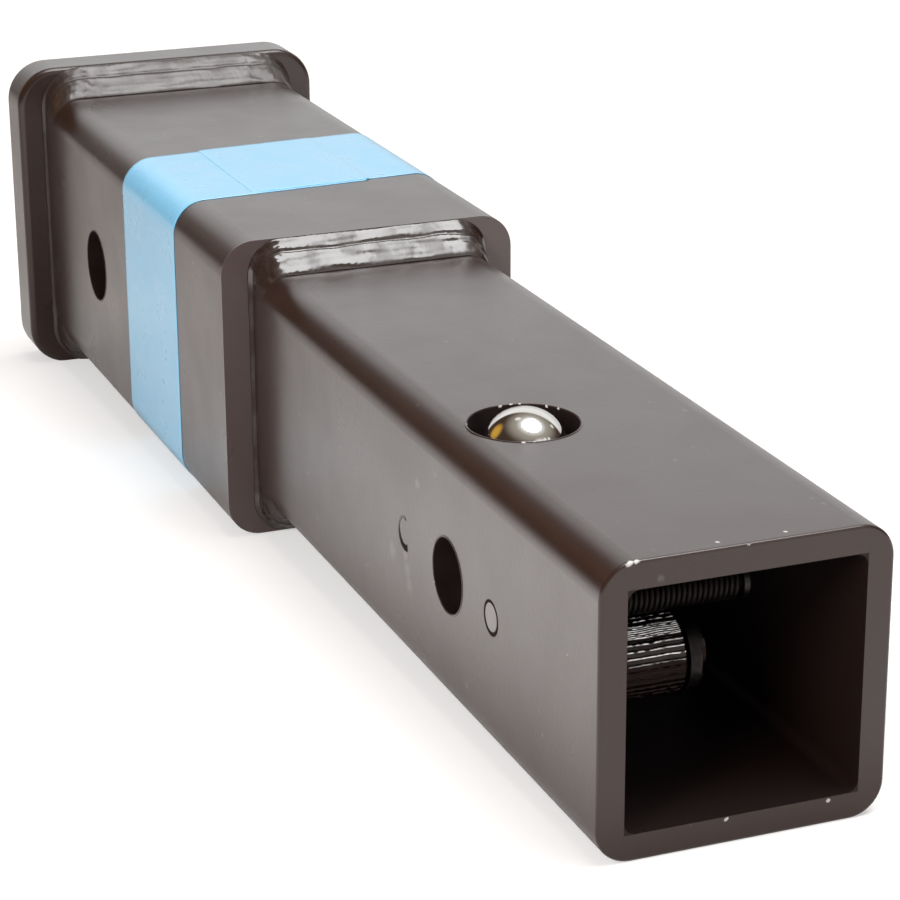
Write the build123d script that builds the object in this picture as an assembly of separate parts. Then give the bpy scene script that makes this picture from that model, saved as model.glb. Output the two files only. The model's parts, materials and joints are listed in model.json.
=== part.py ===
from build123d import *
from math import acos, atan, atan2, cos, degrees, hypot, pi, radians, sin, sqrt, tan
import os

# Hitch extender: a square shank welded into a larger receiver tube, with a sprung
# locking ball that stands out of the shank's top wall over the pin hole.
# Millimetres. The origin is the centre of the shank's pin hole on the tube axis.
# +X points to the shank's free end, pin holes run along Y, +Z is up.

# Shank
shank_size = 50.8
shank_wall = 4.76
shank_corner = 6.0
shank_inner_corner = 2.0
free_end = 63.0
pin_hole = 13.5
end_rounding = 0.6

# Receiver tube, with the shank pushed into it
receiver_wall = 5.95
receiver_corner = 7.0
socket_clearance = 0.4
socket_corner = 3.0
step_from_pin = 109.0
receiver_length = 161.0
shank_overlap = 29.0
receiver_pin_hole = 16.4
receiver_pin_from_mouth = 58.3

# Collar round the mouth
collar_wall = 6.35
collar_length = 12.7
collar_corner = 9.5
collar_rounding = 1.5

# Weld beads, laid in the step between two squares: two passes above and below, which run
# out over the corners into one low fillet along the sides
step_leg = 6.5
collar_leg = 8.3
side_leg = 0.8
side_depth = 0.15
bead_crest = 0.5
bead_toe = 0.2
bead_edge_drop = 0.2
upper_pass = 0.37
slices_per_pass = 4

# Tape: one strip wound once round the receiver tube with a little drift, its ends lapped on top
tape_width = 41.0
tape_thickness = 0.2
tape_centre = -165.9
tape_slant = 4.0
tape_drift = 0.8
lap_length = 26.7

# Locking ball and the hole that it stands out of
ball_size = 15.875
ball_proud = 2.85
ball_behind_pin = 1.2
ball_from_wall = 10.14
ball_hole = 19.5
hole_behind_ball = 0.5
ball_seat_gap = 0.1

# Arm under the ball
arm_width = 12.7
arm_thickness = 8.0
arm_over_pin = 0.35
arm_tail = 20.8
stop_length = 5.0
stop_gap = 0.3
bend_behind_hinge = 20.0

# Hinge of the arm
hinge_from_end = 20.0
barrel_size = 14.0
barrel_overhang = 0.8
weld_play = 0.3
barrel_chamfer = 0.6
spindle_size = 8.0
hinge_clearance = 0.05
side_play = 0.15
washer_thickness = 2.0
clip_size = 12.0
clip_thickness = 0.8
clip_opening = 5.0
groove_depth = 0.7
spindle_tip = 1.0
spindle_weld = 2.0
arm_weld = 1.5

# Return spring on its post above the barrel
wire = 0.95
coil_size = 6.2
coils = 28
coil_lift = 0.5
post_clearance = 0.15
post_head = 6.4
post_head_thickness = 1.0
post_weld = 1.4
anchor_reach = 12.5
hook_back = 13.0
hook_bend = 1.6
spring_gap = 0.3
wire_sides = 6

# How far a cut runs past the faces that it opens, and how near an edge lies to a plane to count as in it
past = 1.0
in_plane = 0.01

# Derived places
shank_half = shank_size / 2
inner_half = shank_half - shank_wall
receiver_end = -step_from_pin
mouth = receiver_end - receiver_length
shank_inner_end = receiver_end - shank_overlap
socket_size = shank_size + 2 * socket_clearance
receiver_size = socket_size + 2 * receiver_wall
collar_size = receiver_size + 2 * collar_wall
collar_front = mouth + collar_length
receiver_pin_x = mouth + receiver_pin_from_mouth

ball_radius = ball_size / 2
ball_x = -ball_behind_pin
ball_y = -inner_half + ball_from_wall
ball_z = shank_half + ball_proud - ball_radius
ball_hole_x = ball_x - hole_behind_ball
arm_bottom = pin_hole / 2 + arm_over_pin
arm_top = arm_bottom + arm_thickness
arm_left = ball_y - arm_width / 2
arm_right = ball_y + arm_width / 2
arm_rear = ball_x - arm_tail

hinge_x = free_end - hinge_from_end
arm_bend = hinge_x - bend_behind_hinge
barrel_radius = barrel_size / 2
barrel_left = -inner_half + spindle_weld + weld_play
barrel_right = arm_right + barrel_overhang
washer_left = barrel_right + side_play
clip_left = washer_left + washer_thickness + side_play
spindle_end = clip_left + clip_thickness + side_play + spindle_tip

coil_mean = (coil_size - wire) / 2
post_radius = coil_size / 2 - wire - post_clearance
post_z = barrel_radius + coil_lift + coil_size / 2
coil_left = -inner_half + post_weld + weld_play
coil_right = coil_left + coils * wire


def square_bar(size, corner, start, end):
    """A square bar with rounded corners along X."""
    return extrude(Plane.YZ.offset(start) * RectangleRounded(size, size, corner), end - start)


def cross_bar(x, z, radius, left, right):
    """A round bar along Y."""
    return Pos(x, (left + right) / 2, z) * Rot(90, 0, 0) * Cylinder(radius, right - left)


def end_edges(body, x):
    """The edges of a body that lie in the plane at x."""
    return body.edges().filter_by_position(Axis.X, x - in_plane, x + in_plane)


def shank_tube():
    body = square_bar(shank_size, shank_corner, shank_inner_end, free_end)
    body = fillet(end_edges(body, free_end), end_rounding)
    hollow = square_bar(2 * inner_half, shank_inner_corner, shank_inner_end - past, free_end + past)
    body -= hollow
    body -= cross_bar(0, 0, pin_hole / 2, -shank_size, shank_size)
    return body - Pos(ball_hole_x, ball_y, shank_half) * Cylinder(ball_hole / 2, 2 * shank_wall + past)


def receiver_tube():
    body = square_bar(receiver_size, receiver_corner, mouth, receiver_end)
    body -= square_bar(socket_size, socket_corner, mouth - past, receiver_end + past)
    return body - cross_bar(receiver_pin_x, 0, receiver_pin_hole / 2, -receiver_size, receiver_size)


def mouth_collar():
    body = square_bar(collar_size, collar_corner, mouth, collar_front)
    body = fillet(end_edges(body, mouth) + end_edges(body, collar_front), collar_rounding)
    return body - square_bar(receiver_size, receiver_corner, mouth - past, collar_front + past)


def bead_shares():
    """How far down the bead's face each slice lies, with the groove between the passes as one."""
    upper = [upper_pass * k / slices_per_pass for k in range(slices_per_pass)]
    lower = [upper_pass + (1 - upper_pass) * k / slices_per_pass for k in range(slices_per_pass + 1)]
    return upper + lower


def pass_hump(t):
    across = t / upper_pass if t < upper_pass else (t - upper_pass) / (1 - upper_pass)
    return bead_crest * sin(pi * across)


def weld_bead(start, leg, outer, inner, outer_corner, inner_corner):
    """Slices that step down from an outer square to an inner one above, and hug the inner one beside."""
    top = outer / 2 - bead_edge_drop
    toe = inner / 2 + bead_toe
    slices = []
    for t in bead_shares():
        height = top + (toe - top) * t + pass_hump(t)
        width = inner / 2 + side_leg - (side_leg + side_depth) * min(1, t * leg / side_leg)
        corner = outer_corner + (inner_corner - outer_corner) * t
        slices.append(Plane.YZ.offset(start + leg * t) * RectangleRounded(2 * width, 2 * height, corner))
    return loft(slices, ruled=True) - square_bar(inner, inner_corner, start - past, start + leg + past)


def tape_part(ring, shift, slant, left, right, low, high):
    """The part of a ring of tape inside a slanted box."""
    box = Pos(0, (left + right) / 2, (low + high) / 2) * Box(tape_width, right - left, high - low)
    return ring & Pos(tape_centre - shift, 0, 0) * Rot(0, 0, slant) * box


def tape_band():
    """The first layer, the drifted end of the strip, the slanted run below, and the lap on top."""
    outer = receiver_size + 2 * tape_thickness
    start = tape_centre - tape_width
    end = tape_centre + tape_width
    ring = square_bar(outer, receiver_corner + tape_thickness, start, end)
    ring -= square_bar(receiver_size, receiver_corner, start - past, end + past)
    low = receiver_corner - receiver_size / 2
    inner_end = lap_length / 2
    run_below = degrees(atan(tan(radians(tape_slant)) + tape_drift / receiver_size))
    band = tape_part(ring, 0, tape_slant, -outer, inner_end, low, outer)
    band += tape_part(ring, tape_drift, tape_slant, inner_end, outer, low, outer)
    band += tape_part(ring, tape_drift / 2, run_below, -outer, outer, -outer, low)
    lap = Box(tape_width, lap_length, 2 * tape_thickness)
    return band + Pos(tape_centre - tape_drift, 0, outer / 2) * Rot(0, 0, tape_slant) * lap


def locking_ball():
    return Pos(ball_x, ball_y, ball_z) * Sphere(ball_radius)


def ball_arm():
    """A bar from the barrel to under the ball, with its rear end turned up as the stop."""
    stop_top = inner_half - stop_gap
    outline = Polyline(
        (arm_rear, arm_bottom),
        (arm_bend, arm_bottom),
        (hinge_x, -barrel_radius / 2),
        (hinge_x, barrel_radius / 2),
        (arm_bend, arm_top),
        (arm_rear + stop_length, arm_top),
        (arm_rear + stop_length, stop_top),
        (arm_rear, stop_top),
        close=True,
    )
    side = Plane.XZ.offset(-arm_right) * make_face(outline)
    body = extrude(side, arm_width)
    body -= cross_bar(hinge_x, 0, barrel_radius, arm_left - past, arm_right + past)
    return body - Pos(ball_x, ball_y, ball_z) * Sphere(ball_radius + ball_seat_gap)


def arm_beads(arm, barrel):
    """Two small beads that hold the arm to the barrel, above and below."""
    over = meeting_point((arm_bend, arm_top), (hinge_x, barrel_radius / 2))
    under = meeting_point((arm_bend, arm_bottom), (hinge_x, -barrel_radius / 2))
    left = arm_left + arm_weld
    right = arm_right - arm_weld
    beads = cross_bar(*over, arm_weld, left, right) + cross_bar(*under, arm_weld, left, right)
    return beads - barrel - arm


def meeting_point(start, end):
    """Where a line towards the hinge meets the barrel's round, in X and Z."""
    dx = end[0] - start[0]
    dz = end[1] - start[1]
    a = dx * dx + dz * dz
    b = 2 * ((start[0] - hinge_x) * dx + start[1] * dz)
    c = (start[0] - hinge_x) ** 2 + start[1] ** 2 - barrel_radius ** 2
    t = (-b - sqrt(b * b - 4 * a * c)) / (2 * a)
    return start[0] + t * dx, start[1] + t * dz


def pivot_barrel():
    body = cross_bar(hinge_x, 0, barrel_radius, barrel_left, barrel_right)
    rims = body.edges().filter_by(GeomType.CIRCLE)
    body = chamfer(rims, barrel_chamfer)
    bore = spindle_size / 2 + hinge_clearance
    return body - cross_bar(hinge_x, 0, bore, barrel_left - past, barrel_right + past)


def pivot_spindle():
    body = cross_bar(hinge_x, 0, spindle_size / 2, -inner_half, spindle_end)
    groove_radius = spindle_size / 2 - groove_depth
    groove = cross_bar(hinge_x, 0, spindle_size, clip_left, clip_left + clip_thickness + side_play)
    return body - (groove - cross_bar(hinge_x, 0, groove_radius, -inner_half, spindle_end))


def root_weld(x, z, radius, leg):
    """A coned ring of weld where a bar stands on the inside of the left wall."""
    cone = Pos(x, -inner_half + leg / 2, z) * Rot(-90, 0, 0) * Cone(radius + leg, radius, leg)
    return cone - cross_bar(x, z, radius, -inner_half - past, -inner_half + leg + past)


def pivot_washer():
    body = cross_bar(hinge_x, 0, barrel_radius, washer_left, washer_left + washer_thickness)
    bore = spindle_size / 2 + hinge_clearance
    return body - cross_bar(hinge_x, 0, bore, washer_left - past, washer_left + washer_thickness + past)


def pivot_clip():
    """An open ring that snaps into the spindle's groove."""
    body = cross_bar(hinge_x, 0, clip_size / 2, clip_left, clip_left + clip_thickness)
    bore = spindle_size / 2 - groove_depth + hinge_clearance
    body -= cross_bar(hinge_x, 0, bore, clip_left - past, clip_left + clip_thickness + past)
    slot = Box(clip_size, 4 * clip_thickness, clip_opening, align=(Align.MIN, Align.CENTER, Align.CENTER))
    return body - Pos(hinge_x, clip_left, 0) * slot


def spring_post():
    tip = coil_right + spring_gap
    shaft = cross_bar(hinge_x, post_z, post_radius, -inner_half, tip)
    head = cross_bar(hinge_x, post_z, post_head / 2, tip, tip + post_head_thickness)
    return shaft + head


def return_spring():
    """A close-wound coil, one rib for each turn, with an anchor leg and a hooked leg."""
    crest = coil_size / 2
    valley = crest - wire / 4
    inner = crest - wire
    points = [(inner, 0), (valley, 0)]
    for turn in range(coils):
        low = turn * wire
        points += [(crest, low + wire / 2), (valley, low + wire)]
    outline = Polyline(*points, (inner, coils * wire), close=True)
    sleeve = revolve(Plane.XZ * make_face(outline), Axis.Z)
    sleeve = Pos(hinge_x, coil_left, post_z) * Rot(-90, 0, 0) * sleeve
    return sleeve + anchor_leg() + hook_leg()


def wire_along(path):
    section = Plane(origin=path @ 0, z_dir=path % 0) * RegularPolygon(wire / 2, wire_sides)
    return sweep(section, path=path, transition=Transition.ROUND)


def leg_start(x, y, z, side):
    """Where a straight leg to a point leaves the coil, by the side of its axis that the leg passes."""
    turned = atan2(z - post_z, x - hinge_x) + side * acos(coil_mean / hypot(x - hinge_x, z - post_z))
    return hinge_x + coil_mean * cos(turned), y, post_z + coil_mean * sin(turned)


def anchor_leg():
    """From the coil's top forward and up to the underside of the top wall."""
    end = (hinge_x + anchor_reach, coil_left + wire / 2, inner_half - spring_gap - wire / 2)
    return wire_along(Line(leg_start(*end, 1), end))


def hook_leg():
    """From the coil's top back and down beside the arm, then across under it."""
    y = coil_right - wire / 2
    slope = atan2(arm_bottom + barrel_radius / 2, hinge_x - arm_bend)
    x = hinge_x - hook_back
    arm_under = arm_bottom - (x - arm_bend) * tan(slope)
    z = arm_under - (spring_gap + wire / 2) / cos(slope)
    route = FilletPolyline(
        leg_start(x, y, z, -1),
        (x, y, z),
        (x, arm_left + arm_width / 4, z),
        radius=hook_bend,
    )
    return wire_along(route)


def main():
    arm = ball_arm()
    barrel = pivot_barrel()
    nodes = {
        "shank_tube": shank_tube(),
        "receiver_tube": receiver_tube(),
        "mouth_collar": mouth_collar(),
        "step_weld": weld_bead(receiver_end, step_leg, receiver_size, shank_size,
                               receiver_corner, shank_corner),
        "collar_weld": weld_bead(collar_front, collar_leg, collar_size, receiver_size,
                                 collar_corner, receiver_corner),
        "tape_band": tape_band(),
        "locking_ball": locking_ball(),
        "ball_arm": arm,
        "pivot_barrel": barrel,
        "arm_weld": arm_beads(arm, barrel),
        "pivot_spindle": pivot_spindle(),
        "spindle_weld": root_weld(hinge_x, 0, spindle_size / 2, spindle_weld),
        "pivot_washer": pivot_washer(),
        "pivot_clip": pivot_clip(),
        "spring_post": spring_post(),
        "post_weld": root_weld(hinge_x, post_z, post_radius, post_weld),
        "return_spring": return_spring(),
    }
    os.makedirs("parts", exist_ok=True)
    for name, shape in nodes.items():
        export_step(shape, f"parts/{name}.step")


main()
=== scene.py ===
import json
import math

import bpy
from mathutils import Matrix, Vector, noise as perlin

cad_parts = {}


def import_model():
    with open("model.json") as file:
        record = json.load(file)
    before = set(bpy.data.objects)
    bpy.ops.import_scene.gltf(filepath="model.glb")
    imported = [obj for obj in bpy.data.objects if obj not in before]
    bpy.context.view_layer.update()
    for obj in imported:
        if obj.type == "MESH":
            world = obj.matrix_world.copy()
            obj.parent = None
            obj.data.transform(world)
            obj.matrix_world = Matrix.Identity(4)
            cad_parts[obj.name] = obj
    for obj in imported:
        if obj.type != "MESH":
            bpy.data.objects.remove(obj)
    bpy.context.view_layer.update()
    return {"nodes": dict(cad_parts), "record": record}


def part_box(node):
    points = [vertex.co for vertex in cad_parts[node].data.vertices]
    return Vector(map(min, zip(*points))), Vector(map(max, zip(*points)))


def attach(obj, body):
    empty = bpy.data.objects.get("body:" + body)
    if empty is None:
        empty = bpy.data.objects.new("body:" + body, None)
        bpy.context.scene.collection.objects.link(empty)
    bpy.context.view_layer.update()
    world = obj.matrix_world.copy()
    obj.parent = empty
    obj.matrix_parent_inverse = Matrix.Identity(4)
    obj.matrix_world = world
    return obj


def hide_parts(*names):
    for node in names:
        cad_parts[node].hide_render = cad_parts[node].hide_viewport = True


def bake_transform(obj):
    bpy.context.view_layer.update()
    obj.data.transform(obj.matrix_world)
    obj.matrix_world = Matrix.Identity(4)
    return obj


# Hitch extender: finishes, weld beads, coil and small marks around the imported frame. Metres.
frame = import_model()
nodes = frame["nodes"]
MM = 0.001

# Sizes and places from the frame, and the few that it does not name

shank_low, shank_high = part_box("shank_tube")
receiver_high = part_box("receiver_tube")[1]
collar_low, collar_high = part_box("mouth_collar")
barrel_low, barrel_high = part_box("pivot_barrel")
barrel_axis = Vector(((barrel_low.x + barrel_high.x) / 2, 0, 0))
barrel_radius = (barrel_high.x - barrel_low.x) / 2
shank_half = shank_high.z
receiver_half = receiver_high.z
collar_half = collar_high.z
shank_hollow_half = 20.7 * MM
socket_half = 25.9 * MM

mounts = {mount["name"]: mount for mount in frame["record"]["mounts"]}
pin_place = Vector(mounts["hitch_pin_bore"]["pos_m"])
pin_radius = mounts["hitch_pin_bore"]["dims"]["r_mm"] * MM
receiver_pin_place = Vector(mounts["receiver_pin_bore"]["pos_m"])
receiver_pin_radius = mounts["receiver_pin_bore"]["dims"]["r_mm"] * MM
ball_hole_place = Vector((-1.7, -10.5, 0.0)) * MM
ball_hole_radius = 9.75 * MM

# Node trees


def shader_node(tree, kind, **settings):
    """A shader node with its properties set, and its inputs by name or place."""
    made = tree.nodes.new(kind)
    inputs = settings.pop("inputs", {})
    for name, value in settings.items():
        setattr(made, name, value)
    for name, value in inputs.items():
        if isinstance(value, bpy.types.NodeSocket):
            tree.links.new(value, made.inputs[name])
        else:
            made.inputs[name].default_value = value
    return made


def maths(tree, operation, a, b=None, c=None, clamp=False):
    inputs = {0: a}
    if b is not None:
        inputs[1] = b
    if c is not None:
        inputs[2] = c
    made = shader_node(tree, "ShaderNodeMath", operation=operation, use_clamp=clamp, inputs=inputs)
    return made.outputs[0]


def times(tree, a, b):
    return maths(tree, "MULTIPLY", a, b)


def larger(tree, *values):
    """The largest of several values."""
    most = values[0]
    for value in values[1:]:
        most = maths(tree, "MAXIMUM", most, value)
    return most


def ramp(tree, value, low, high, out_low=0.0, out_high=1.0):
    """A smooth step of a value from one level to another."""
    made = shader_node(tree, "ShaderNodeMapRange", interpolation_type="SMOOTHSTEP",
                       inputs={"Value": value, "From Min": low, "From Max": high,
                               "To Min": out_low, "To Max": out_high})
    return made.outputs["Result"]


def noise(tree, vector, scale, detail=2.0, roughness=0.5):
    inputs = {"Vector": vector, "Scale": scale, "Detail": detail, "Roughness": roughness}
    return shader_node(tree, "ShaderNodeTexNoise", inputs=inputs).outputs["Fac"]


def stretched(tree, vector, scale):
    """The place vector scaled by axis, for a texture that is long one way."""
    made = shader_node(tree, "ShaderNodeMapping", inputs={"Vector": vector, "Scale": scale})
    return made.outputs["Vector"]


def split(tree, vector):
    """X, Y and Z of a vector, by name."""
    return shader_node(tree, "ShaderNodeSeparateXYZ", inputs={"Vector": vector}).outputs


def vector_maths(tree, operation, a, b=None):
    inputs = {0: a} if b is None else {0: a, 1: b}
    return shader_node(tree, "ShaderNodeVectorMath", operation=operation, inputs=inputs).outputs


def mixed(tree, amount, a, b):
    made = shader_node(tree, "ShaderNodeMix", data_type="RGBA")
    for socket, value in ((made.inputs[0], amount), (made.inputs[6], a), (made.inputs[7], b)):
        if isinstance(value, bpy.types.NodeSocket):
            tree.links.new(value, socket)
        else:
            socket.default_value = value
    return made.outputs[2]


def bump(tree, height, strength, distance):
    inputs = {"Height": height, "Strength": strength, "Distance": distance}
    return shader_node(tree, "ShaderNodeBump", inputs=inputs).outputs["Normal"]


def new_material(name):
    """A material with a Principled shader, and the place of a point in the row frame."""
    material = bpy.data.materials.new(name)
    material.use_nodes = True
    tree = material.node_tree
    surface = tree.nodes["Principled BSDF"]
    place = shader_node(tree, "ShaderNodeTexCoord").outputs["Object"]
    return material, tree, surface, place


def plug(tree, surface, **links):
    """Links sockets to a shader's inputs, named with underscores."""
    for name, socket in links.items():
        tree.links.new(socket, surface.inputs[name.replace("_", " ")])


def settle(surface, **values):
    """Sets a shader's own inputs, named with underscores."""
    for name, value in values.items():
        surface.inputs[name.replace("_", " ")].default_value = value


# Places on the paint: spots, hole walls and the lines of the marks. Spots in millimetres.

# The first two spots, on the lower rim inside the pin hole, are painted glints; the others are bare chips
# in the paint.
chips_and_glints = (
    (-6.1, -25.35, -3.5, 0.26), (-5.8, -25.35, -4.1, 0.30), (51.2, -25.4, 6.1, 0.26),
    (63.0, -20.5, 25.3, 0.80), (63.0, -19.2, 25.35, 0.60), (60.6, -4.6, 25.4, 0.38),
    (60.8, 7.1, 25.4, 0.34), (63.0, -0.3, 25.3, 0.36), (63.0, -2.9, -21.2, 0.42),
    (63.0, 15.3, -21.3, 0.42), (-11.4, -10.8, 25.4, 0.32), (-11.6, -8.8, 25.4, 0.28),
    (-11.2, -7.2, 25.4, 0.30), (-8.4, -3.4, 25.4, 0.30), (-6.4, -2.2, 25.4, 0.28),
    (7.6, -14.3, 25.4, 0.42), (7.8, -12.6, 25.4, 0.56), (7.6, -11.6, 25.4, 0.40),
    (7.4, -10.2, 25.4, 0.34), (-4.9, -19.6, 25.4, 0.30),
)
smudges = (
    (-20.7, -25.4, -3.9, 1.8), (-19.9, -25.4, -6.4, 2.3), (-19.0, -25.4, -9.0, 2.2),
    (-14.5, -25.4, 12.0, 1.6), (-27.5, -25.4, -5.5, 2.4), (63.0, -15.2, 22.0, 0.9),
)
ring_place = Vector((19.8, 0.0, 0.0)) * MM
arc_place = Vector((-20.9, 0.0, 0.4)) * MM
arc_blob_place = Vector((-20.5, 0.0, 3.1)) * MM
mark_radius = 2.85 * MM
mark_line = 0.26 * MM
mark_line_end = 0.34 * MM
ring_thicker_below = 0.10 * MM
arc_thicker_below = 0.42 * MM
arc_opening_slant = 0.178
round_y = (1, 0, 1)
round_z = (1, 1, 0)


def patches(tree, place, spots, softness):
    """1 inside some ragged spots, each a place and a radius in millimetres."""
    ragged = maths(tree, "MULTIPLY_ADD", noise(tree, place, 1400.0, 3.0), 1.2 * MM, -0.6 * MM)
    inside = []
    for x, y, z, radius in spots:
        away = vector_maths(tree, "DISTANCE", place, (x * MM, y * MM, z * MM))["Value"]
        away = maths(tree, "ADD", away, ragged)
        inside.append(ramp(tree, away, radius * (1 - softness) * MM, radius * MM, 1.0, 0.0))
    return larger(tree, *inside)


def distance_from(tree, place, centre, keep):
    """The way from a centre and its length, counting only the axes that keep holds a 1 for."""
    offset = vector_maths(tree, "SUBTRACT", place, tuple(centre))["Vector"]
    kept = vector_maths(tree, "MULTIPLY", offset, keep)["Vector"]
    return offset, vector_maths(tree, "LENGTH", kept)["Value"]


def bore(tree, place, centre, keep, radius):
    """1 nearer to a hole's axis than its radius, which is the hole's wall."""
    away = distance_from(tree, place, centre, keep)[1]
    return ramp(tree, away, radius + 0.04 * MM, radius + 0.12 * MM, 1.0, 0.0)


def hollows_and_hole_walls(tree, place):
    """1 inside the hollow tubes and on the walls of the holes, where the coat is thin and dry and the
    colour is darkened as painted shade.
    """
    parts = split(tree, place)
    widest = larger(tree, maths(tree, "ABSOLUTE", parts["Y"]), maths(tree, "ABSOLUTE", parts["Z"]))
    step_x = receiver_high.x
    inner = ramp(tree, parts["X"], step_x - 0.4 * MM, step_x, socket_half, shank_hollow_half)
    hollow = ramp(tree, maths(tree, "SUBTRACT", widest, inner), -0.04 * MM, 0.04 * MM, 1.0, 0.0)
    pin = bore(tree, place, pin_place, round_y, pin_radius)
    receiver_pin = bore(tree, place, receiver_pin_place, round_y, receiver_pin_radius)
    ball = bore(tree, place, ball_hole_place, round_z, ball_hole_radius)
    top_only = ramp(tree, parts["Z"], 0.0, 10 * MM)
    return larger(tree, hollow, pin, receiver_pin, times(tree, ball, top_only))


def beside_circle(tree, place, centre):
    """The way from a mark's centre, the distance from its circle, and 1 at its lower end."""
    offset, away = distance_from(tree, place, centre, round_y)
    beside = maths(tree, "ABSOLUTE", maths(tree, "SUBTRACT", away, mark_radius))
    low_end = ramp(tree, split(tree, offset)["Z"], -mark_radius, mark_radius, 1.0, 0.0)
    return offset, beside, low_end


def ring_line(tree, place):
    """1 on the ring's line, which is a little wider below, and 1 inside the ring."""
    beside, low_end = beside_circle(tree, place, ring_place)[1:]
    beside = maths(tree, "SUBTRACT", beside, times(tree, low_end, ring_thicker_below))
    line = ramp(tree, beside, 0.22 * MM, 0.40 * MM, 1.0, 0.0)
    away = distance_from(tree, place, ring_place, round_y)[1]
    return line, ramp(tree, away, mark_radius - 0.3 * MM, mark_radius, 1.0, 0.0)


def arc_line(tree, place):
    """1 on the arc's ragged line, wider and darker below, with a blob at its upper end."""
    ragged = maths(tree, "MULTIPLY_ADD", noise(tree, place, 1500.0, 2.0), 0.3 * MM, -0.15 * MM)
    offset, beside, low_end = beside_circle(tree, place, arc_place)
    beside = maths(tree, "ADD", beside, ragged)
    beside = maths(tree, "SUBTRACT", beside, times(tree, low_end, arc_thicker_below))
    parts = split(tree, offset)
    opening = maths(tree, "MULTIPLY_ADD", parts["Z"], arc_opening_slant, parts["X"])
    closed = ramp(tree, opening, 0.8 * MM, 1.1 * MM, 1.0, 0.0)
    darkness = times(tree, closed, maths(tree, "MULTIPLY_ADD", low_end, 0.5, 0.5))
    line = times(tree, ramp(tree, beside, 0.14 * MM, 0.36 * MM, 1.0, 0.0), darkness)
    from_blob = distance_from(tree, place, arc_blob_place, round_y)[1]
    blob = ramp(tree, maths(tree, "ADD", from_blob, ragged), 0.15 * MM, 0.65 * MM, 0.8, 0.0)
    return larger(tree, line, blob)


def mark_places(tree, place):
    """1 on the thin dark lines of the two position marks, and 1 inside the ring."""
    across = split(tree, place)["Y"]
    left_face = ramp(tree, across, shank_low.y + 0.3 * MM, shank_low.y + 0.4 * MM, 1.0, 0.0)
    ring, disc = ring_line(tree, place)
    drawn = larger(tree, ring, arc_line(tree, place))
    return times(tree, drawn, left_face), times(tree, disc, left_face)


# Finishes


def tube_paint():
    """Satin dark brown powder coat with fine orange peel, soft uneven gloss and a few chipped spots. It
    carries painted light on the receiver's end face, two painted glints in the pin hole, and painted shade
    in the hollows, on the hole walls and along the marks' lines.
    """
    brown, lighter_brown = (0.020, 0.0085, 0.0062, 1), (0.029, 0.0135, 0.0098, 1)
    painted_lit_end, dust_speck = (0.085, 0.060, 0.056, 1), (0.30, 0.27, 0.25, 1)
    smudge, bare_chip_or_glint = (0.42, 0.40, 0.38, 1), (0.58, 0.55, 0.52, 1)
    worn_disc, painted_hollow_shade = (0.30, 0.28, 0.27, 1), (0.012, 0.006, 0.005, 1)
    material, tree, surface, place = new_material("tube_paint")
    colour = mixed(tree, noise(tree, place, 18.0, 3.0), brown, lighter_brown)
    # Painted light: the receiver's end face, which the shank shades from the lamp, is given a lighter
    # colour.
    from_end = maths(tree, "SUBTRACT", split(tree, place)["X"], receiver_high.x)
    end_face = ramp(tree, maths(tree, "ABSOLUTE", from_end), 0.1 * MM, 0.5 * MM, 1.0, 0.0)
    colour = mixed(tree, end_face, colour, painted_lit_end)
    speck = ramp(tree, noise(tree, place, 420.0, 1.0), 0.76, 0.82)
    colour = mixed(tree, times(tree, speck, 0.20), colour, dust_speck)
    colour = mixed(tree, times(tree, patches(tree, place, smudges, 0.95), 0.13), colour, smudge)
    # Bare chips, and two painted glints in the pin hole, in a pale steel colour.
    chipped_or_glinting = patches(tree, place, chips_and_glints, 0.5)
    colour = mixed(tree, chipped_or_glinting, colour, bare_chip_or_glint)
    line, disc = mark_places(tree, place)
    colour = mixed(tree, times(tree, disc, 0.35), colour, worn_disc)
    # Painted shade: the hollows, the hole walls and the marks' lines, which stand for shaded grooves, are
    # darkened. They are also made duller and left without coat.
    dull_and_shaded = larger(tree, hollows_and_hole_walls(tree, place), line)
    dull_and_shaded = times(tree, dull_and_shaded, maths(tree, "SUBTRACT", 1.0, chipped_or_glinting))
    colour = mixed(tree, dull_and_shaded, colour, painted_hollow_shade)
    gloss = ramp(tree, noise(tree, place, 60.0, 4.0), 0.3, 0.7, 0.27, 0.35)
    gloss = larger(tree, gloss, times(tree, dull_and_shaded, 0.6))
    coat = maths(tree, "SUBTRACT", 1.0, dull_and_shaded)
    shine = maths(tree, "MULTIPLY_ADD", line, -0.42, 0.5)
    peel = bump(tree, noise(tree, place, 900.0, 2.0), 0.10, 0.2 * MM)
    plug(tree, surface, Base_Color=colour, Roughness=gloss, Normal=peel)
    plug(tree, surface, Coat_Weight=coat, Specular_IOR_Level=shine)
    settle(surface, IOR=1.38, Specular_Tint=(1.0, 0.93, 0.95, 1), Coat_IOR=1.38, Coat_Roughness=0.24)
    return material


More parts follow.
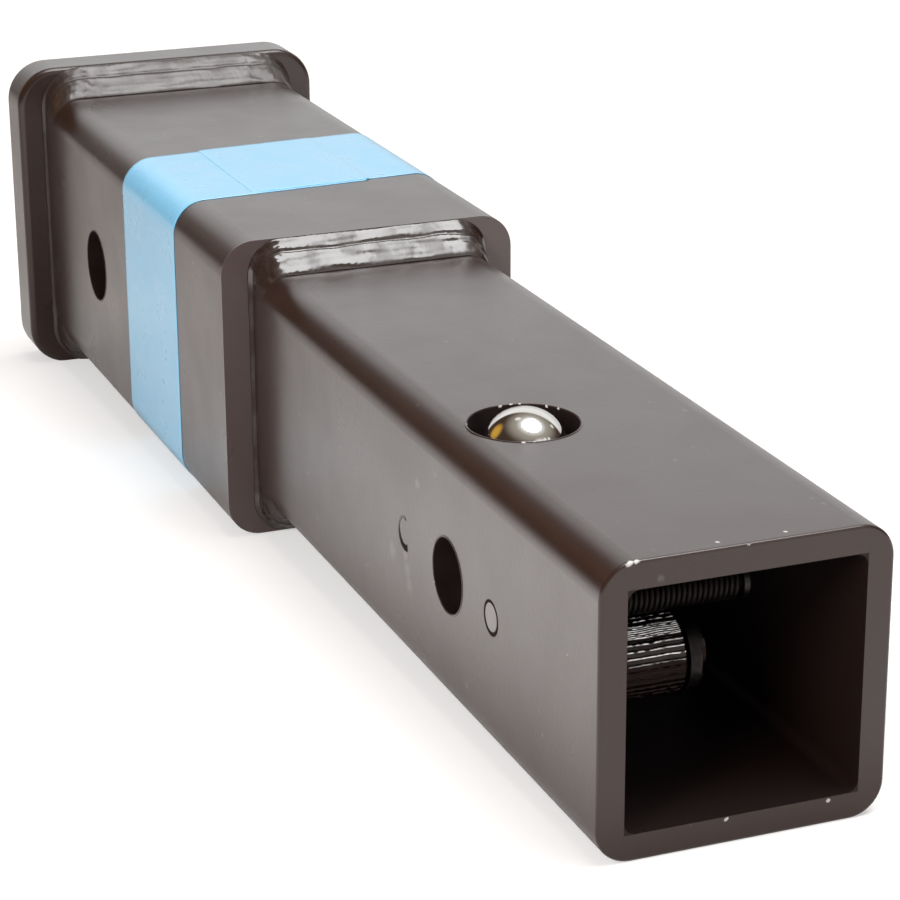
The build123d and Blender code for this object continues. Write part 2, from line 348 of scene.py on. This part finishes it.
def weld_paint():
    """The same paint, thicker and glossier over the beads, and drier at the collar and the sides."""
    brown, lighter_brown = (0.018, 0.009, 0.007, 1), (0.030, 0.016, 0.012, 1)
    dry_from, dry_to = -200 * MM, -240 * MM
    side_top, side_low = shank_half - 1.5 * MM, shank_half - 3.5 * MM
    material, tree, surface, place = new_material("weld_paint")
    colour = mixed(tree, noise(tree, place, 140.0, 3.0), brown, lighter_brown)
    parts = split(tree, place)
    dry = ramp(tree, parts["X"], dry_to, dry_from, 1.0, 0.0)
    sides = ramp(tree, maths(tree, "ABSOLUTE", parts["Z"]), side_low, side_top, 1.0, 0.0)
    gloss = ramp(tree, noise(tree, place, 190.0, 3.0), 0.35, 0.65, 0.10, 0.38)
    gloss = times(tree, gloss, maths(tree, "MULTIPLY_ADD", dry, -0.65, 1.0))
    drier = larger(tree, times(tree, dry, 0.34), times(tree, sides, 0.4))
    gloss = maths(tree, "ADD", gloss, drier)
    bare = larger(tree, sides, times(tree, dry, 0.25))
    coat = maths(tree, "MULTIPLY_ADD", bare, -0.6, 0.6)
    peel = bump(tree, noise(tree, place, 700.0, 2.0), 0.15, 0.2 * MM)
    plug(tree, surface, Base_Color=colour, Roughness=gloss, Normal=peel)
    plug(tree, surface, Coat_Weight=coat, Coat_Roughness=times(tree, gloss, 0.8))
    settle(surface, IOR=1.62)
    return material


def blue_tape():
    """Smooth light blue adhesive tape with faint stretch lines."""
    blue, lighter_blue = (0.18, 0.535, 0.80, 1), (0.22, 0.57, 0.83, 1)
    material, tree, surface, place = new_material("blue_tape")
    colour = mixed(tree, noise(tree, place, 45.0, 3.0), blue, lighter_blue)
    lines = noise(tree, stretched(tree, place, (300.0, 60.0, 60.0)), 1.0, 1.0)
    gloss = ramp(tree, noise(tree, place, 120.0, 3.0), 0.3, 0.7, 0.26, 0.38)
    plug(tree, surface, Base_Color=colour, Roughness=gloss, Normal=bump(tree, lines, 0.08, 0.1 * MM))
    settle(surface, Coat_Weight=1.0, Coat_IOR=1.65, Coat_Roughness=0.26)
    return material


def ball_steel():
    """Polished bearing steel, with the faintest haze and hairline scratches."""
    warm_steel, steel = (0.74, 0.72, 0.68, 1), (0.83, 0.81, 0.78, 1)
    material, tree, surface, place = new_material("ball_steel")
    colour = mixed(tree, noise(tree, place, 90.0, 2.0), warm_steel, steel)
    haze = ramp(tree, noise(tree, place, 260.0, 4.0), 0.35, 0.75, 0.06, 0.11)
    scratch = noise(tree, stretched(tree, place, (300.0, 5000.0, 2200.0)), 1.0, 2.0)
    plug(tree, surface, Base_Color=colour, Roughness=haze, Normal=bump(tree, scratch, 0.02, 0.05 * MM))
    settle(surface, Metallic=1.0)
    return material


def bare_steel():
    """Cold-drawn steel with fine lines along Y, with painted shade deep in the barrel's grooves and on its
    lower part.
    """
    steel, stained_steel = (0.86, 0.84, 0.83, 1), (0.52, 0.49, 0.48, 1)
    painted_groove_shade, painted_lower_shade = (0.045, 0.037, 0.035, 1), (0.015, 0.010, 0.009, 1)
    material, tree, surface, place = new_material("bare_steel")
    lines = noise(tree, stretched(tree, place, (2600.0, 90.0, 2600.0)), 1.0, 3.0, 0.6)
    stain = noise(tree, place, 220.0, 4.0)
    colour = mixed(tree, ramp(tree, stain, 0.35, 0.7), steel, stained_steel)
    # Painted shade: darker the deeper a point lies in the barrel's grooves.
    away = distance_from(tree, place, barrel_axis, round_y)[1]
    near_surface = ramp(tree, away, barrel_radius - 0.20 * MM, barrel_radius - 0.07 * MM)
    colour = mixed(tree, near_surface, painted_groove_shade, colour)
    # Painted shade: darker below a ragged height, on the lower part.
    height = maths(tree, "MULTIPLY_ADD", stain, 3.0 * MM, split(tree, place)["Z"])
    colour = mixed(tree, ramp(tree, height, 2.2 * MM, 4.0 * MM, 1.0, 0.0), colour, painted_lower_shade)
    gloss = ramp(tree, lines, 0.3, 0.7, 0.20, 0.36)
    plug(tree, surface, Base_Color=colour, Roughness=gloss, Normal=bump(tree, lines, 0.30, 0.2 * MM))
    settle(surface, Metallic=1.0)
    return material


def dark_steel():
    """Oil-blackened steel, rubbed a little brighter in places."""
    black, rubbed_grey = (0.016, 0.0135, 0.013, 1), (0.052, 0.044, 0.042, 1)
    material, tree, surface, place = new_material("dark_steel")
    rubbed = ramp(tree, noise(tree, place, 300.0, 4.0), 0.5, 0.75)
    colour = mixed(tree, rubbed, black, rubbed_grey)
    gloss = ramp(tree, noise(tree, place, 700.0, 3.0), 0.3, 0.7, 0.28, 0.45)
    grain = bump(tree, noise(tree, place, 1500.0, 2.0), 0.2, 0.1 * MM)
    plug(tree, surface, Base_Color=colour, Roughness=gloss, Normal=grain)
    settle(surface, Metallic=0.9)
    return material


def spring_steel():
    """Dark drawn spring wire with a dull shine, its colour darkened further as painted shade inside the
    tube.
    """
    # Painted shade: both colours are set darker than bare spring wire, for the shade inside the tube.
    black, brown_black = (0.008, 0.0058, 0.0052, 1), (0.017, 0.0125, 0.0115, 1)
    material, tree, surface, place = new_material("spring_steel")
    cloud = noise(tree, place, 500.0, 3.0)
    colour = mixed(tree, cloud, black, brown_black)
    gloss = ramp(tree, cloud, 0.3, 0.7, 0.36, 0.50)
    grain = bump(tree, noise(tree, place, 2500.0, 2.0), 0.15, 0.1 * MM)
    plug(tree, surface, Base_Color=colour, Roughness=gloss, Normal=grain)
    settle(surface, Metallic=0.7, Specular_IOR_Level=0.3)
    return material


finishes = {
    "tube_paint": tube_paint(),
    "weld_paint": weld_paint(),
    "blue_tape": blue_tape(),
    "ball_steel": ball_steel(),
    "bare_steel": bare_steel(),
    "dark_steel": dark_steel(),
    "spring_steel": spring_steel(),
}
for subpart in frame["record"]["subparts"]:
    carried = nodes[subpart["node"]]
    carried.data.materials.clear()
    carried.data.materials.append(finishes[subpart["material_slot"]])

# Meshes


def mesh_piece(name, points, faces, body, slot, replaced=()):
    """A smooth-shaded mesh in the finish of its slot. It rides on a body, where one is given."""
    mesh = bpy.data.meshes.new(name)
    mesh.from_pydata(points, [], faces)
    mesh.materials.append(finishes[slot])
    mesh.polygons.foreach_set("use_smooth", [True] * len(mesh.polygons))
    mesh.update()
    piece = bpy.data.objects.new(name, mesh)
    bpy.context.scene.collection.objects.link(piece)
    if body:
        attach(piece, body)
    if replaced:
        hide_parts(*replaced)
    return piece


def grid_faces(rows, columns, close_rows=False, close_columns=False):
    """Quads of a grid of points held row by row."""
    faces = []
    for i in range(rows if close_rows else rows - 1):
        row = i * columns
        next_row = (i + 1) % rows * columns
        for j in range(columns if close_columns else columns - 1):
            beside = (j + 1) % columns
            faces.append((row + j, row + beside, next_row + beside, next_row + j))
    return faces


def rough(place, size, seed=0.0):
    """Even noise from -1 to 1 with lumps of about that size."""
    return perlin.noise(Vector(place) / size + Vector((seed, seed, seed)))


def smooth(value):
    """A smooth step from 0 to 1."""
    value = min(1.0, max(0.0, value))
    return value * value * (3 - 2 * value)


dome_shares = (0.8, 0.35)
dome_reach = 0.9


def dome(ring, way):
    """Two smaller rings past a wire's end, listed in the order that the wire runs."""
    point, side, along, radius = ring
    made = []
    for share in dome_shares:
        reach = dome_reach * radius * math.sin(math.acos(share))
        made.append((point + along * way * reach, side, along, radius * share))
    return made if way > 0 else made[::-1]


def wire_piece(name, points, radii, body, slot, replaced=(), flat=1.0, flat_axis=None):
    """A round wire through points, domed at both ends, or thinner along its flat axis."""
    sides = 12
    points = [Vector(point) for point in points]
    last = len(points) - 1
    rings = []
    side = None
    for i, point in enumerate(points):
        along = (points[min(i + 1, last)] - points[max(i - 1, 0)]).normalized()
        if flat_axis:
            side = Vector(flat_axis)
        elif side is None:
            side = along.orthogonal()
        side = (side - along * side.dot(along)).normalized()
        rings.append((point, side, along, radii[i]))
    made = []
    for point, side, along, radius in dome(rings[0], -1) + rings + dome(rings[-1], 1):
        other = along.cross(side)
        for k in range(sides):
            turn = 2 * math.pi * k / sides
            made.append(point + side * radius * flat * math.cos(turn) + other * radius * math.sin(turn))
    faces = grid_faces(len(made) // sides, sides, close_columns=True)
    faces.append(tuple(reversed(range(sides))))
    faces.append(tuple(range(len(made) - sides, len(made))))
    return mesh_piece(name, made, [face[::-1] for face in faces], body, slot, replaced)


# Weld beads: two uneven passes above and below, which run out over the corners into a low fillet

bead_crest = 0.42 * MM
bead_edge_drop = 0.2 * MM
bead_toe = 0.05 * MM
bead_clearance = 0.02 * MM
upper_pass = 0.37
groove_wander = 0.035
crown_power = 8
side_leg = 0.8 * MM
side_depth = 0.15 * MM
side_curve = 1.3
side_unevenness = 0.12 * MM
ripple_pitch = 1.7 * MM
ripple_height = 0.012 * MM
straight_share = 0.8
bead_around = 1000
bead_across = 44

# Unevenness of a crown: a share of the crest, and a size. Craters start past a width from the middle.
lumps = (0.42, 4.5 * MM)
bumps = (0.14, 1.8 * MM)
streaks = (0.30, 1.2 * MM)
craters = (0.50, 1.7 * MM)
craters_from = 17 * MM
craters_full = 21 * MM


def rectangle_station(half_y, half_z, corner, share):
    """Y and Z on a rounded rectangle, a share of the way round from the left end of its top."""
    quarter, rest = divmod(share * 4, 1)
    half_u, half_v = (half_y, half_z) if quarter % 2 == 0 else (half_z, half_y)
    if rest < straight_share:
        u = (half_u - corner) * (2 * rest / straight_share - 1)
        v = half_v
    else:
        turn = math.pi / 2 * (rest - straight_share) / (1 - straight_share)
        u = half_u - corner + corner * math.sin(turn)
        v = half_v - corner + corner * math.cos(turn)
    return [(u, v), (v, -u), (-u, -v), (-v, u)][int(quarter)]


def uneven(kind, spot, seed):
    share, size = kind
    return share * rough(spot, size, seed)


def pass_height(spot, t, along, seed):
    """The uneven crown of the pass that lies at t, flat topped, with lumps, streaks and fine ripples."""
    groove = upper_pass + groove_wander * rough(spot, 6 * MM, seed)
    number = 0 if t < groove else 1
    across = 2 * t / groove - 1 if number == 0 else 2 * (t - groove) / (1 - groove) - 1
    crown = 1 - abs(across) ** crown_power
    uneasy = uneven(lumps, spot + Vector((t * 3 * MM, 0, 0)), seed + 7 * number)
    uneasy += uneven(bumps, spot + Vector((t * 5 * MM, 0, 0)), seed + 4)
    uneasy += uneven(streaks, Vector((t * 9 * MM, along * 0.12, 0)), seed + 3)
    near_end = smooth((abs(spot.y) - craters_from) / (craters_full - craters_from))
    uneasy += near_end * uneven(craters, spot + Vector((t * 6 * MM, 0, 0)), seed + 5)
    bow = 0.5 * across * across + 0.8 * rough(spot, 3 * MM, seed + 2)
    ripples = ripple_height * math.cos(2 * math.pi * (along / ripple_pitch + bow))
    return crown * (bead_crest * (1 + uneasy) + ripples)


def bead_point(start, leg, outer, inner, corners, share, t, seed):
    """A point of a bead, t of the way down its face from the outer square to the inner one."""
    corner = corners[0] + (corners[1] - corners[0]) * t
    top, toe = outer - bead_edge_drop, inner - bead_toe
    slope = top + (toe - top) * t
    root = 1 - min(1.0, t * leg / side_leg)
    half_y = inner - side_depth + (side_leg + side_depth) * root ** side_curve
    y, z = rectangle_station(half_y, slope, corner, share)
    spot = Vector((start, y, z))
    along = 8 * inner * share
    half_z = min(slope + pass_height(spot, t, along, seed), outer - bead_clearance)
    half_y += side_unevenness * root * rough(spot, 3 * MM, seed)
    y, z = rectangle_station(half_y, half_z, corner, share)
    return Vector((start + leg * t, y, z))


def weld_bead(name, node, outer, inner, corners, seed):
    """A sculpted bead in place of the plain one, closed along the tube that it lies on."""
    low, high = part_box(node)
    start, leg = low.x, high.x - low.x
    points = []
    for i in range(bead_around):
        share = i / bead_around
        for j in range(bead_across):
            t = j / (bead_across - 1)
            points.append(bead_point(start, leg, outer, inner, corners, share, t, seed))
        y, z = rectangle_station(inner - side_depth, inner - side_depth, corners[1], share)
        points.append(Vector((start, y, z)))
    faces = [face[::-1] for face in grid_faces(bead_around, bead_across + 1, True, True)]
    return mesh_piece(name, points, faces, "tubes", "weld_paint", [node])


weld_bead("step_bead", "step_weld", receiver_half, shank_half, (7 * MM, 6 * MM), 3.0)
weld_bead("collar_bead", "collar_weld", collar_half, receiver_half, (9.5 * MM, 7 * MM), 8.0)

# Return spring: a close-wound helix with its anchor leg, and the hooked leg that follows the arm

spring_low, spring_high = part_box("return_spring")
post_low, post_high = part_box("spring_post")
arm_low, arm_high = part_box("ball_arm")
coil_axis_x = (post_low.x + post_high.x) / 2
coil_axis_z = (post_low.z + post_high.z) / 2
wire_radius = 0.465 * MM
coil_radius = 2.625 * MM
coil_first = spring_low.y + wire_radius
coil_last = spring_high.y - wire_radius
coil_turns = 27
steps_per_turn = 28
anchor_leg = 12.5 * MM
anchor_steps = 6
anchor_end = Vector((coil_axis_x + anchor_leg, coil_first, spring_high.z - wire_radius))
hook_corner = Vector((spring_low.x + wire_radius, coil_last, spring_low.z + wire_radius))
hook_bend = 1.6 * MM
hook_steps = 24
hook_bend_steps = 8


def coil_point(turned, y):
    x = coil_axis_x + coil_radius * math.cos(turned)
    return Vector((x, y, coil_axis_z + coil_radius * math.sin(turned)))


def leaving_angle(end, side):
    """Where on the coil a straight leg to a point leaves it, by the side that it passes."""
    dx, dz = end.x - coil_axis_x, end.z - coil_axis_z
    return math.atan2(dz, dx) + side * math.acos(coil_radius / math.hypot(dx, dz))


def return_coil():
    """The anchor leg and the turns, from the left wall inwards."""
    start = leaving_angle(anchor_end, 1)
    end = leaving_angle(hook_corner, -1) + 2 * math.pi * (coil_turns + 1)
    steps = int((end - start) / (2 * math.pi) * steps_per_turn)
    root = coil_point(start, coil_first)
    points = [root.lerp(anchor_end, k / anchor_steps) for k in range(anchor_steps, 0, -1)]
    for k in range(steps + 1):
        share = k / steps
        y = coil_first + (coil_last - coil_first) * share
        points.append(coil_point(start + (end - start) * share, y))
    radii = [wire_radius] * len(points)
    return wire_piece("return_coil", points, radii, "tubes", "spring_steel", ["return_spring"])


def hook_leg():
    """Straight back and down beside the arm, then round under it."""
    root = coil_point(leaving_angle(hook_corner, -1), coil_last)
    back = (hook_corner - root).normalized()
    bend_start = hook_corner - back * hook_bend
    middle = bend_start - Vector((0, hook_bend, 0))
    tip = arm_low.y + (arm_high.y - arm_low.y) / 4
    points = [root.lerp(bend_start, k / hook_steps) for k in range(hook_steps + 1)]
    for k in range(1, hook_bend_steps + 1):
        turn = math.pi / 2 * k / hook_bend_steps
        inwards = Vector((0, hook_bend * math.cos(turn), 0))
        points.append(middle + back * hook_bend * math.sin(turn) + inwards)
    bend_end = points[-1]
    run = bend_end.y - tip
    points += [bend_end - Vector((0, run * k / hook_steps, 0)) for k in range(1, hook_steps + 1)]
    piece = wire_piece("hook_leg", points, [wire_radius] * len(points), None, "spring_steel")
    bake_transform(piece)
    return piece


return_coil()
hook_leg()

# Pivot barrel: cold-drawn bar scored along its length, more closely in a band near its top

barrel_bore = 4.05 * MM
barrel_chamfer = 0.6 * MM
barrel_rows = 66
grooves = 38
points_per_groove = 30
groove_depth = 0.24 * MM
crest_rise = 0.16
crest_end = 0.26
crest_fall = 0.30
band_from, band_to = math.radians(50), math.radians(68)
band_closer = 3
band_groove_depth = 0.11 * MM
grain_depth = 0.03 * MM


def groove_profile(across):
    """Height from 0 in a groove to 1 on a crest, which rises steeply at its front and then falls away."""
    if across < crest_rise:
        return smooth(across / crest_rise)
    return 1 - smooth((across - crest_end) / crest_fall)


def score_depth(turn, y):
    """How deep the scored surface lies below the barrel's radius, at an angle and a place along it."""
    round_way = turn * barrel_radius
    waver = 0.10 * rough((round_way, y, 0), 3.0 * MM, 6.0)
    ragged_turn = turn + 0.07 * rough((0, y, 0), 0.4 * MM, 2.0)
    in_band = band_from < ragged_turn < band_to
    count = (turn * grooves / (2 * math.pi) + waver) * (band_closer if in_band else 1)
    groove, across = divmod(count, 1)
    unbroken = 0.78 + 1.0 * rough((groove * 3 * MM, y, 0), 1.0 * MM, 4.0)
    height = groove_profile(across) * min(1.0, max(0.0, unbroken))
    grain = rough((round_way * 2, y * 0.7, 0), 0.35 * MM, 9.0)
    return (band_groove_depth if in_band else groove_depth) * (1 - height) + grain_depth * (1 + grain)


def scored_barrel():
    """The barrel with its bore, chamfered ends and scored surface."""
    around = grooves * points_per_groove
    left, right = barrel_low.y, barrel_high.y
    scored_length = right - left - 2 * barrel_chamfer
    end_radius = barrel_radius - barrel_chamfer
    stations = [(left, barrel_bore), (left, end_radius)]
    for k in range(barrel_rows):
        stations.append((left + barrel_chamfer + scored_length * k / (barrel_rows - 1), barrel_radius))
    stations += [(right, end_radius), (right, barrel_bore)]
    points = []
    for y, level in stations:
        for k in range(around):
            turn = 2 * math.pi * k / around
            reach = level - score_depth(turn, y) if level == barrel_radius else level
            points.append(barrel_axis + Vector((reach * math.cos(turn), y, reach * math.sin(turn))))
    faces = grid_faces(len(stations), around, True, True)
    return mesh_piece("scored_barrel", points, faces, "ball_lever", "bare_steel", ["pivot_barrel"])


scored_barrel()

# Tape: one strip wound once round the receiver tube with a little drift, its ends lapped on top

tape_width = 41.0 * MM
tape_slant = math.tan(math.radians(4.0))
tape_drift = 0.8 * MM
drift_from = 0.45
drift_over = 0.20
tape_lap = 26.7 * MM
tape_middle = -165.9 * MM
tape_thickness = 0.13 * MM
tape_corner = 7.0 * MM
tape_rows = 620
tape_columns = 64
lap_climb = 1.5 * MM
free_end = 2.0 * MM
free_end_pressed = 0.85
tape_ripple = 0.02
tape_ripple_size = 9 * MM
tape_edge_share = 1 / 12


def tape_route(along):
    """Y and Z on the tube and the outward direction there, a length along the strip from its inner end."""
    flat_half = receiver_half - tape_corner
    straight = 2 * flat_half
    arc = tape_corner * math.pi / 2
    quarter, rest = divmod(flat_half + tape_lap / 2 - along, straight + arc)
    turn = max(0.0, (rest - straight) / tape_corner)
    u = min(rest, straight) - flat_half + tape_corner * math.sin(turn)
    v = flat_half + tape_corner * math.cos(turn)
    quarter_turn = math.pi / 2 * quarter
    cosine, sine = math.cos(quarter_turn), math.sin(quarter_turn)
    turn += quarter_turn
    return u * cosine + v * sine, v * cosine - u * sine, math.sin(turn), math.cos(turn)


def wound_tape():
    """The strip's middle surface, given its thickness by a modifier."""
    perimeter = 8 * (receiver_half - tape_corner) + 2 * math.pi * tape_corner
    length = perimeter + tape_lap
    points = []
    for i in range(tape_rows + 1):
        along = length * i / tape_rows
        y, z, out_y, out_z = tape_route(along)
        over = smooth((along - perimeter + lap_climb) / lap_climb)
        over *= 1 - free_end_pressed * smooth((along - length + free_end) / free_end)
        drift = tape_drift * smooth((along / perimeter - drift_from) / drift_over)
        for j in range(tape_columns + 1):
            share = j / tape_columns - 0.5
            x = tape_middle + share * tape_width - tape_slant * y - drift
            from_edge = min(1.0, (0.5 - abs(share)) / tape_edge_share)
            ripple = tape_ripple * rough((x, y, z), tape_ripple_size, 2.0) * from_edge
            lift = tape_thickness * (0.5 + over + ripple)
            points.append(Vector((x, y + out_y * lift, z + out_z * lift)))
    faces = grid_faces(tape_rows + 1, tape_columns + 1)
    piece = mesh_piece("wound_tape", points, faces, "tubes", "blue_tape", ["tape_band"])
    thick = piece.modifiers.new("thickness", "SOLIDIFY")
    thick.thickness = tape_thickness
    thick.offset = 0.0
    return piece


wound_tape()

# Position marks beside the pin hole: a plain ring in front and an open arc behind, in low relief

mark_steps = 72
mark_relief = 0.12


def position_mark(name, centre, first, last, end_line):
    """An arc of a thin dark line on the left face, from one angle to another in degrees."""
    points = []
    radii = []
    for k in range(mark_steps + 1):
        share = k / mark_steps
        turn = math.radians(first + (last - first) * share)
        x = centre.x + mark_radius * math.cos(turn)
        points.append(Vector((x, shank_low.y, centre.z + mark_radius * math.sin(turn))))
        radii.append(mark_line + (end_line - mark_line) * share)
    return wire_piece(name, points, radii, "tubes", "tube_paint", flat=mark_relief, flat_axis=(0, 1, 0))


position_mark("ring_mark", ring_place, 0, 360, mark_line)
position_mark("arc_mark", arc_place, 80, 285, mark_line_end)

# Hole rims: the paint gathers in a thin bead round each hole

along_x, along_y, along_z = Vector((1, 0, 0)), Vector((0, 1, 0)), Vector((0, 0, 1))
rim_around = 180
rim_sides = 10
rim_height = 0.8


def rim(name, centre, across, up, radius, line):
    """A thin ring of paint round a hole, in the plane of two directions."""
    out = across.cross(up)
    points = []
    for i in range(rim_around):
        turn = 2 * math.pi * i / rim_around
        ray = across * math.cos(turn) + up * math.sin(turn)
        for k in range(rim_sides):
            roll = 2 * math.pi * k / rim_sides
            reach = radius + line * math.cos(roll)
            points.append(centre + ray * reach + out * line * rim_height * math.sin(roll))
    faces = grid_faces(rim_around, rim_sides, True, True)
    return mesh_piece(name, points, faces, "tubes", "tube_paint")


pin_mouth = Vector((pin_place.x, shank_low.y, 0))
receiver_pin_mouth = Vector((receiver_pin_place.x, -receiver_half, 0))
ball_mouth = Vector((ball_hole_place.x, ball_hole_place.y, shank_half))
rim("pin_hole_rim", pin_mouth, along_x, along_z, pin_radius + 0.27 * MM, 0.14 * MM)
rim("receiver_pin_rim", receiver_pin_mouth, along_x, along_z, receiver_pin_radius + 0.28 * MM, 0.14 * MM)
rim("ball_hole_rim", ball_mouth, along_x, along_y, ball_hole_radius + 0.30 * MM, 0.16 * MM)

# Stage: a pale floor that the part rests on, a soft overhead box and a bright backdrop behind

foot_x = shank_high.x
heel_x = collar_low.x
floor_slope = math.atan((collar_half - shank_half) / (foot_x - heel_x))
floor_place = ((foot_x + heel_x) / 2, 0, -(collar_half + shank_half) / 2)
floor_size = 12.0
floor_glow = 0.53
overhead_place = (0.17, 0.55, 2.43)
fill_place = (0.36, -0.62, 0.40)

# What mirrors see of the room: a direction, the angles where it starts and is full, and its colour
room_colour = (0.060, 0.038, 0.028, 1)
room_lights = (
    (overhead_place, 60, 24, (0.42, 0.39, 0.34, 1)),
    (overhead_place, 32, 19, (0.85, 0.85, 0.86, 1)),
    ((-0.62, -0.62, 0.47), 19, 3, (0.66, 0.38, 0.06, 1)),
    ((0.86, 0.36, 0.36), 27, 17, (1.0, 1.0, 1.0, 1)),
)
glint_colour = (1.0, 0.98, 0.94, 1)
glints = (((0.577, 0.576, 0.579), 5.5, 3.0), ((0.452, 0.721, 0.525), 4.5, 2.0),
          ((-0.171, 0.832, 0.528), 4.5, 2.0), ((-0.423, -0.045, 0.905), 6.5, 4.0))
backdrop_direction = (-0.85, 0.50, -0.02)
backdrop_angles = (48.5, 43)
backdrop_low = 0.15
backdrop_high = 0.38
backdrop_dim = 0.74


def light_path(tree):
    """1 for camera rays, and 1 for what the camera, a mirror or glass sees directly."""
    path = shader_node(tree, "ShaderNodeLightPath").outputs
    seen = maths(tree, "ADD", path["Is Camera Ray"], path["Is Glossy Ray"])
    return path["Is Camera Ray"], maths(tree, "ADD", seen, path["Is Transmission Ray"], clamp=True)


def floor():
    """A matt floor, white to the camera. Mirrors see a painted glow on it that fades beside and behind the
    part, as painted shadow beside it and painted shade behind, where the floor's colour is darker too.
    """
    near_colour, painted_shade_far_colour = (0.64, 0.605, 0.585, 1), (0.53, 0.49, 0.465, 1)
    material, tree, surface, place = new_material("floor_white")
    settle(surface, Roughness=0.9, Specular_IOR_Level=0.1, Emission_Color=(1, 1, 1, 1))
    parts = split(tree, place)
    camera_ray, seen = light_path(tree)
    beyond_end = maths(tree, "SUBTRACT", parts["X"], (foot_x - heel_x) / 2)
    beyond_side = maths(tree, "SUBTRACT", maths(tree, "ABSOLUTE", parts["Y"]), 30 * MM)
    # Painted shadow: the glow that mirrors see is 0 next to the part and full some way out.
    clear = ramp(tree, larger(tree, beyond_end, beyond_side), 0.0, 32 * MM)
    near = ramp(tree, parts["X"], -150 * MM, 50 * MM)
    in_front = ramp(tree, parts["X"], 170 * MM, 230 * MM, 1.0, 0.5)
    at_right = ramp(tree, parts["Y"], 15 * MM, 60 * MM, 0.0, 0.35)
    level = times(tree, maths(tree, "ADD", in_front, at_right), floor_glow)
    glow = times(tree, seen, times(tree, times(tree, clear, near), level))
    # Painted shade for mirrors: the floor is darker far behind, and is kept white to the camera there.
    far = ramp(tree, parts["X"], -280 * MM, -180 * MM, 1.0, 0.0)
    white = times(tree, camera_ray, maths(tree, "MULTIPLY_ADD", far, 0.15, 0.45))
    colour = mixed(tree, far, near_colour, painted_shade_far_colour)
    plug(tree, surface, Base_Color=colour, Emission_Strength=larger(tree, glow, white))
    corners = [(-floor_size, -floor_size, 0), (floor_size, -floor_size, 0),
               (floor_size, floor_size, 0), (-floor_size, floor_size, 0)]
    mesh = bpy.data.meshes.new("floor")
    mesh.from_pydata(corners, [], [(0, 1, 2, 3)])
    mesh.materials.append(material)
    plane = bpy.data.objects.new("floor", mesh)
    bpy.context.scene.collection.objects.link(plane)
    plane.location = floor_place
    plane.rotation_euler = (0, -floor_slope, 0)


def cone(tree, direction, axis, wide, narrow):
    """1 within a narrow angle of an axis and 0 beyond a wide one, in degrees."""
    towards = vector_maths(tree, "DOT_PRODUCT", direction, tuple(Vector(axis).normalized()))["Value"]
    return ramp(tree, towards, math.cos(math.radians(wide)), math.cos(math.radians(narrow)))


def world():
    """White to the camera and plain grey light on the part. Mirrors see the room and its backdrop."""
    grey_light, white = (0.37, 0.37, 0.37, 1), (1, 1, 1, 1)
    made = bpy.data.worlds.new("studio")
    made.use_nodes = True
    tree = made.node_tree
    direction = shader_node(tree, "ShaderNodeTexCoord").outputs["Generated"]
    room = room_colour
    for axis, wide, narrow, colour in room_lights:
        room = mixed(tree, cone(tree, direction, axis, wide, narrow), room, colour)
    for axis, wide, narrow in glints:
        room = mixed(tree, cone(tree, direction, axis, wide, narrow), room, glint_colour)
    shade = ramp(tree, split(tree, direction)["Z"], backdrop_low, backdrop_high, backdrop_dim, 1.0)
    backdrop = shader_node(tree, "ShaderNodeCombineColor", inputs={0: shade, 1: shade, 2: shade})
    in_backdrop = cone(tree, direction, backdrop_direction, *backdrop_angles)
    room = mixed(tree, in_backdrop, room, backdrop.outputs["Color"])
    camera_ray, seen = light_path(tree)
    colour = mixed(tree, camera_ray, mixed(tree, seen, grey_light, room), white)
    background = tree.nodes["Background"]
    tree.links.new(colour, background.inputs["Color"])
    background.inputs["Strength"].default_value = 1.0
    bpy.context.scene.world = made


def area_lamp(name, place, aim, size, power, mirrored=True):
    """A round lamp that looks at a place, and that mirrors see or not."""
    data = bpy.data.lights.new(name, "AREA")
    data.shape = "DISK"
    data.size = size
    data.energy = power
    lamp = bpy.data.objects.new(name, data)
    lamp.visible_glossy = mirrored
    lamp.location = place
    lamp.rotation_mode = "QUATERNION"
    lamp.rotation_quaternion = (Vector(aim) - Vector(place)).to_track_quat("-Z", "Y")
    bpy.context.scene.collection.objects.link(lamp)


def camera():
    """The photo's own viewpoint, from a camera fitted to the shank's edges."""
    camera_place = (0.4209, -0.1892, 0.1854)
    right = Vector((0.3657, 0.9307, -0.0057)).normalized()
    back = Vector((0.8766, -0.3424, 0.3383)).normalized()
    data = bpy.data.cameras.new("camera")
    data.sensor_width = 36.0
    data.lens = 113.17
    data.clip_start = 0.01
    data.clip_end = 50.0
    eye = bpy.data.objects.new("camera", data)
    up = back.cross(right).normalized()
    right = up.cross(back)
    turn = Matrix((right, up, back)).transposed().to_4x4()
    eye.matrix_world = Matrix.Translation(camera_place) @ turn
    bpy.context.scene.collection.objects.link(eye)
    bpy.context.scene.camera = eye


floor()
world()
area_lamp("overhead", overhead_place, aim=(0, 0, 0), size=1.75, power=50.0)
area_lamp("fill", fill_place, aim=(-0.05, -0.10, -0.03), size=0.35, power=5.0, mirrored=False)
camera()
bpy.context.scene.view_settings.view_transform = "Standard"
